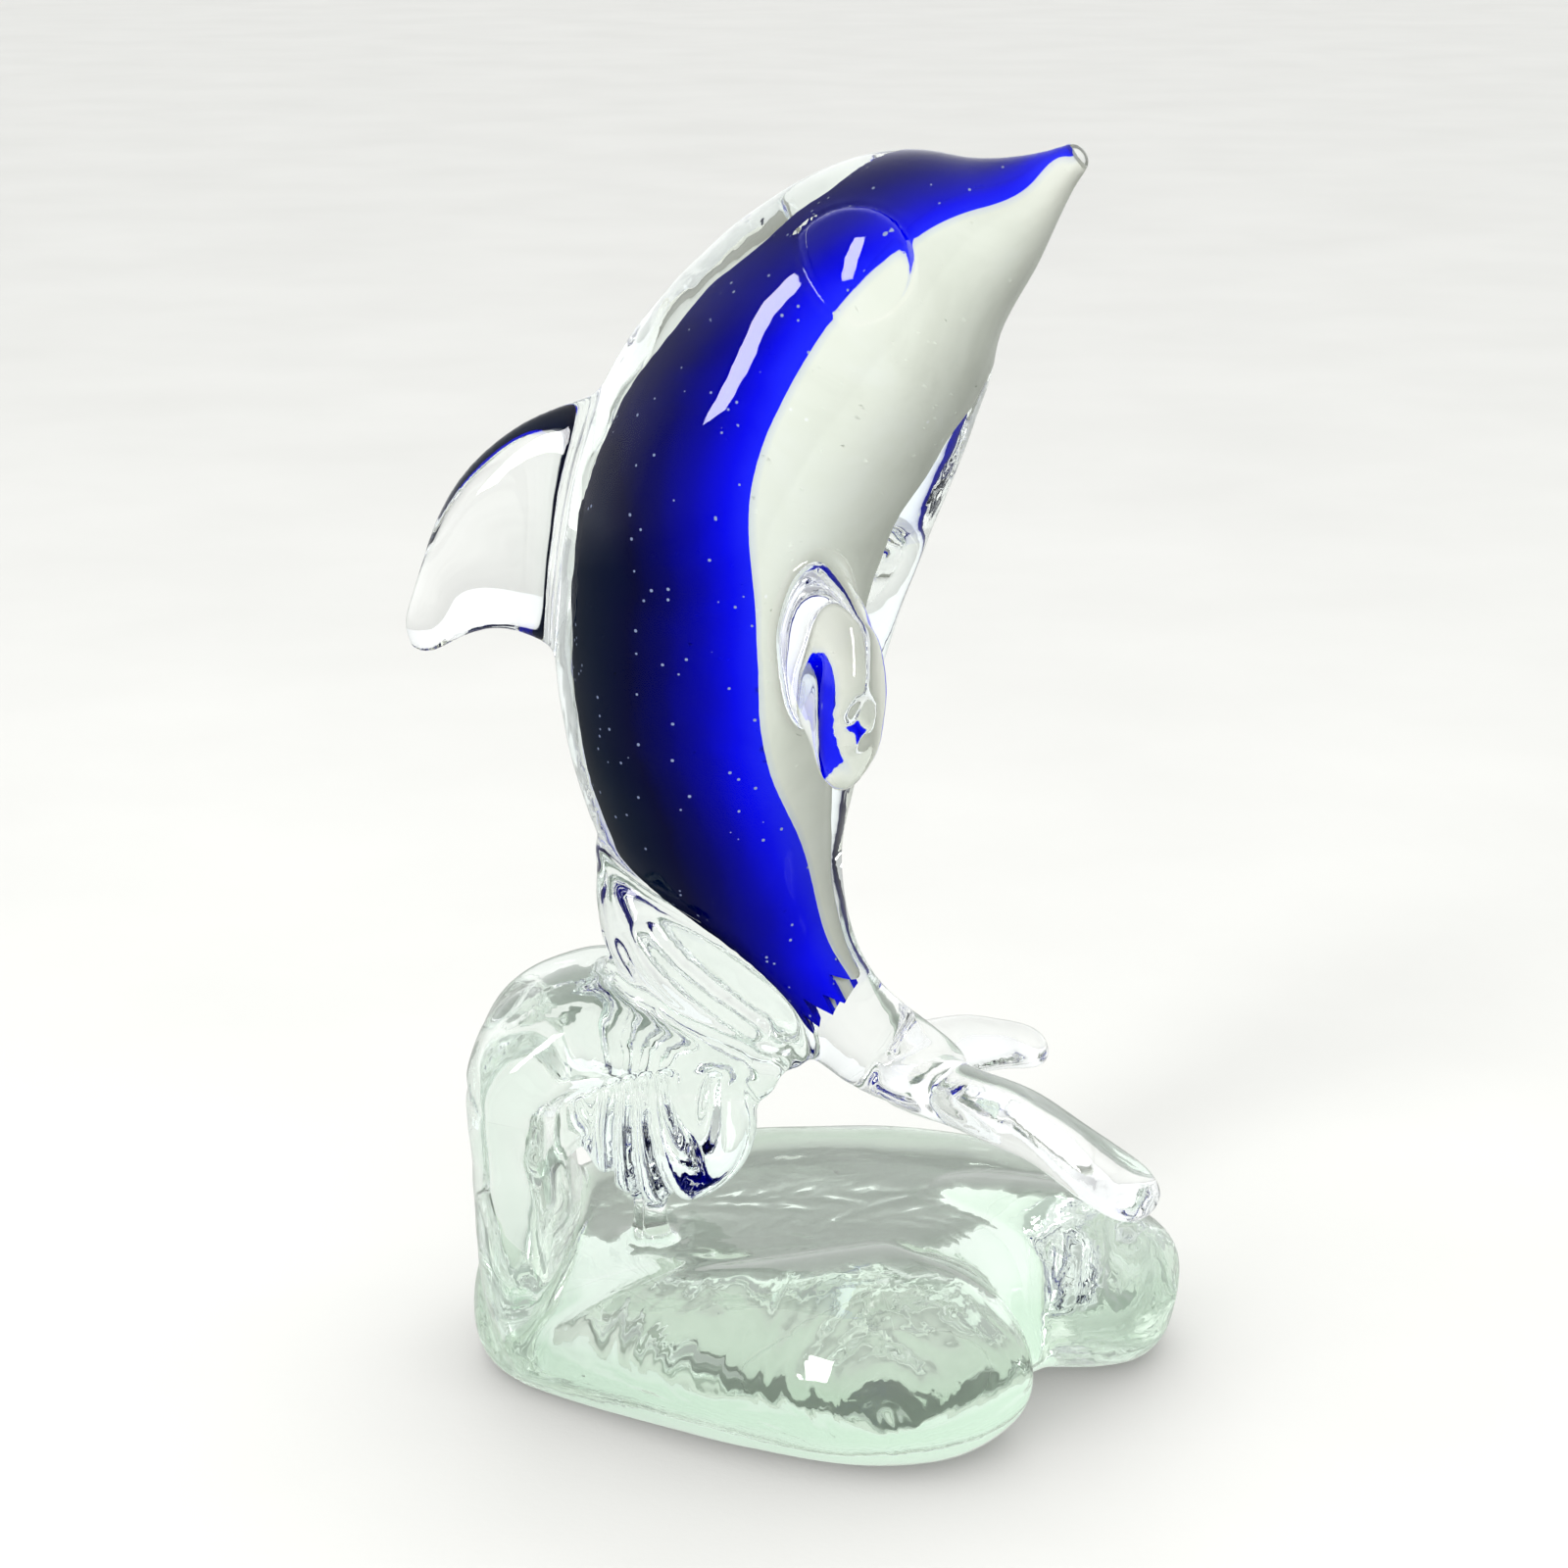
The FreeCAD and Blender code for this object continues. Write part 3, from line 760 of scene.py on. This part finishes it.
def far_light(name, way, strength, angle):
    """Soft light from far off, which lights the object without showing in the glass."""
    data = bpy.data.lights.new(name, "SUN")
    data.energy, data.angle = strength, math.radians(angle)
    light = bpy.data.objects.new(name, data)
    bpy.context.scene.collection.objects.link(light)
    light.rotation_euler = (-Vector(way)).to_track_quat("-Z", "Y").to_euler()
    light.visible_camera = light.visible_glossy = light.visible_transmission = False


def room_light():
    """Bright paper all round, darker on the camera's side so that clear glass has edges."""
    world = bpy.data.worlds.new("studio")
    bpy.context.scene.world = world
    world.use_nodes = True
    tree = world.node_tree
    tree.nodes.clear()
    way = add(tree, "SeparateXYZ", {"Vector": add(tree, "TexCoord").outputs["Generated"]})
    depth = add(tree, "MapRange", {"Value": way.outputs["Y"], "From Min": -1.0}).outputs[0]
    shade = ramp(tree, depth, ((0.0, (0.48, 0.48, 0.48)), (0.30, (0.52, 0.52, 0.53)),
                               (0.50, (0.82, 0.83, 0.83)), (0.75, (0.90, 0.91, 0.91))))
    side = add(tree, "MapRange", {"Value": way.outputs["X"], "From Min": -1.0, "To Min": 1.22,
                                  "To Max": 0.86}).outputs[0]
    sided = add(tree, "VectorMath", {0: shade, "Scale": side}, operation="SCALE").outputs[0]
    top = add(tree, "MapRange", {"Value": way.outputs["Z"], "From Min": 0.55,
                                 "From Max": 0.95}).outputs[0]
    lit = add(tree, "Mix", {"Factor": top, 6: sided, 7: (1.0, 1.0, 1.0, 1.0)},
              data_type="RGBA").outputs[2]
    under = add(tree, "MapRange", {"Value": way.outputs["Z"], "From Min": -0.12,
                                   "From Max": 0.0}).outputs[0]
    closed = add(tree, "Mix", {"Factor": under, 6: (0.50, 0.51, 0.49, 1.0), 7: lit},
                 data_type="RGBA").outputs[2]
    glow = add(tree, "Background", {"Color": closed, "Strength": 1.0}).outputs[0]
    add(tree, "OutputWorld", {"Surface": glow})


studio_camera()
floor()
room_light()
for name, settings in PANELS.items():
    softbox(name, *settings)
far_light("fill_back", BACK_WAY, BACK_STRENGTH, BACK_ANGLE)

scene = bpy.context.scene
scene.view_settings.view_transform = "Standard"
scene.view_settings.look = "Medium High Contrast"
scene.view_settings.use_curve_mapping = True
scene.view_settings.curve_mapping.black_level = (BLACK_LEVEL, BLACK_LEVEL, BLACK_LEVEL)
scene.cycles.max_bounces = LIGHT_PATHS
scene.cycles.transmission_bounces = LIGHT_PATHS
scene.cycles.glossy_bounces = LIGHT_PATHS
scene.cycles.transparent_max_bounces = 32
scene.cycles.diffuse_bounces = 3
scene.cycles.caustics_refractive = False
scene.cycles.caustics_reflective = False
scene.cycles.sample_clamp_indirect = 4.0
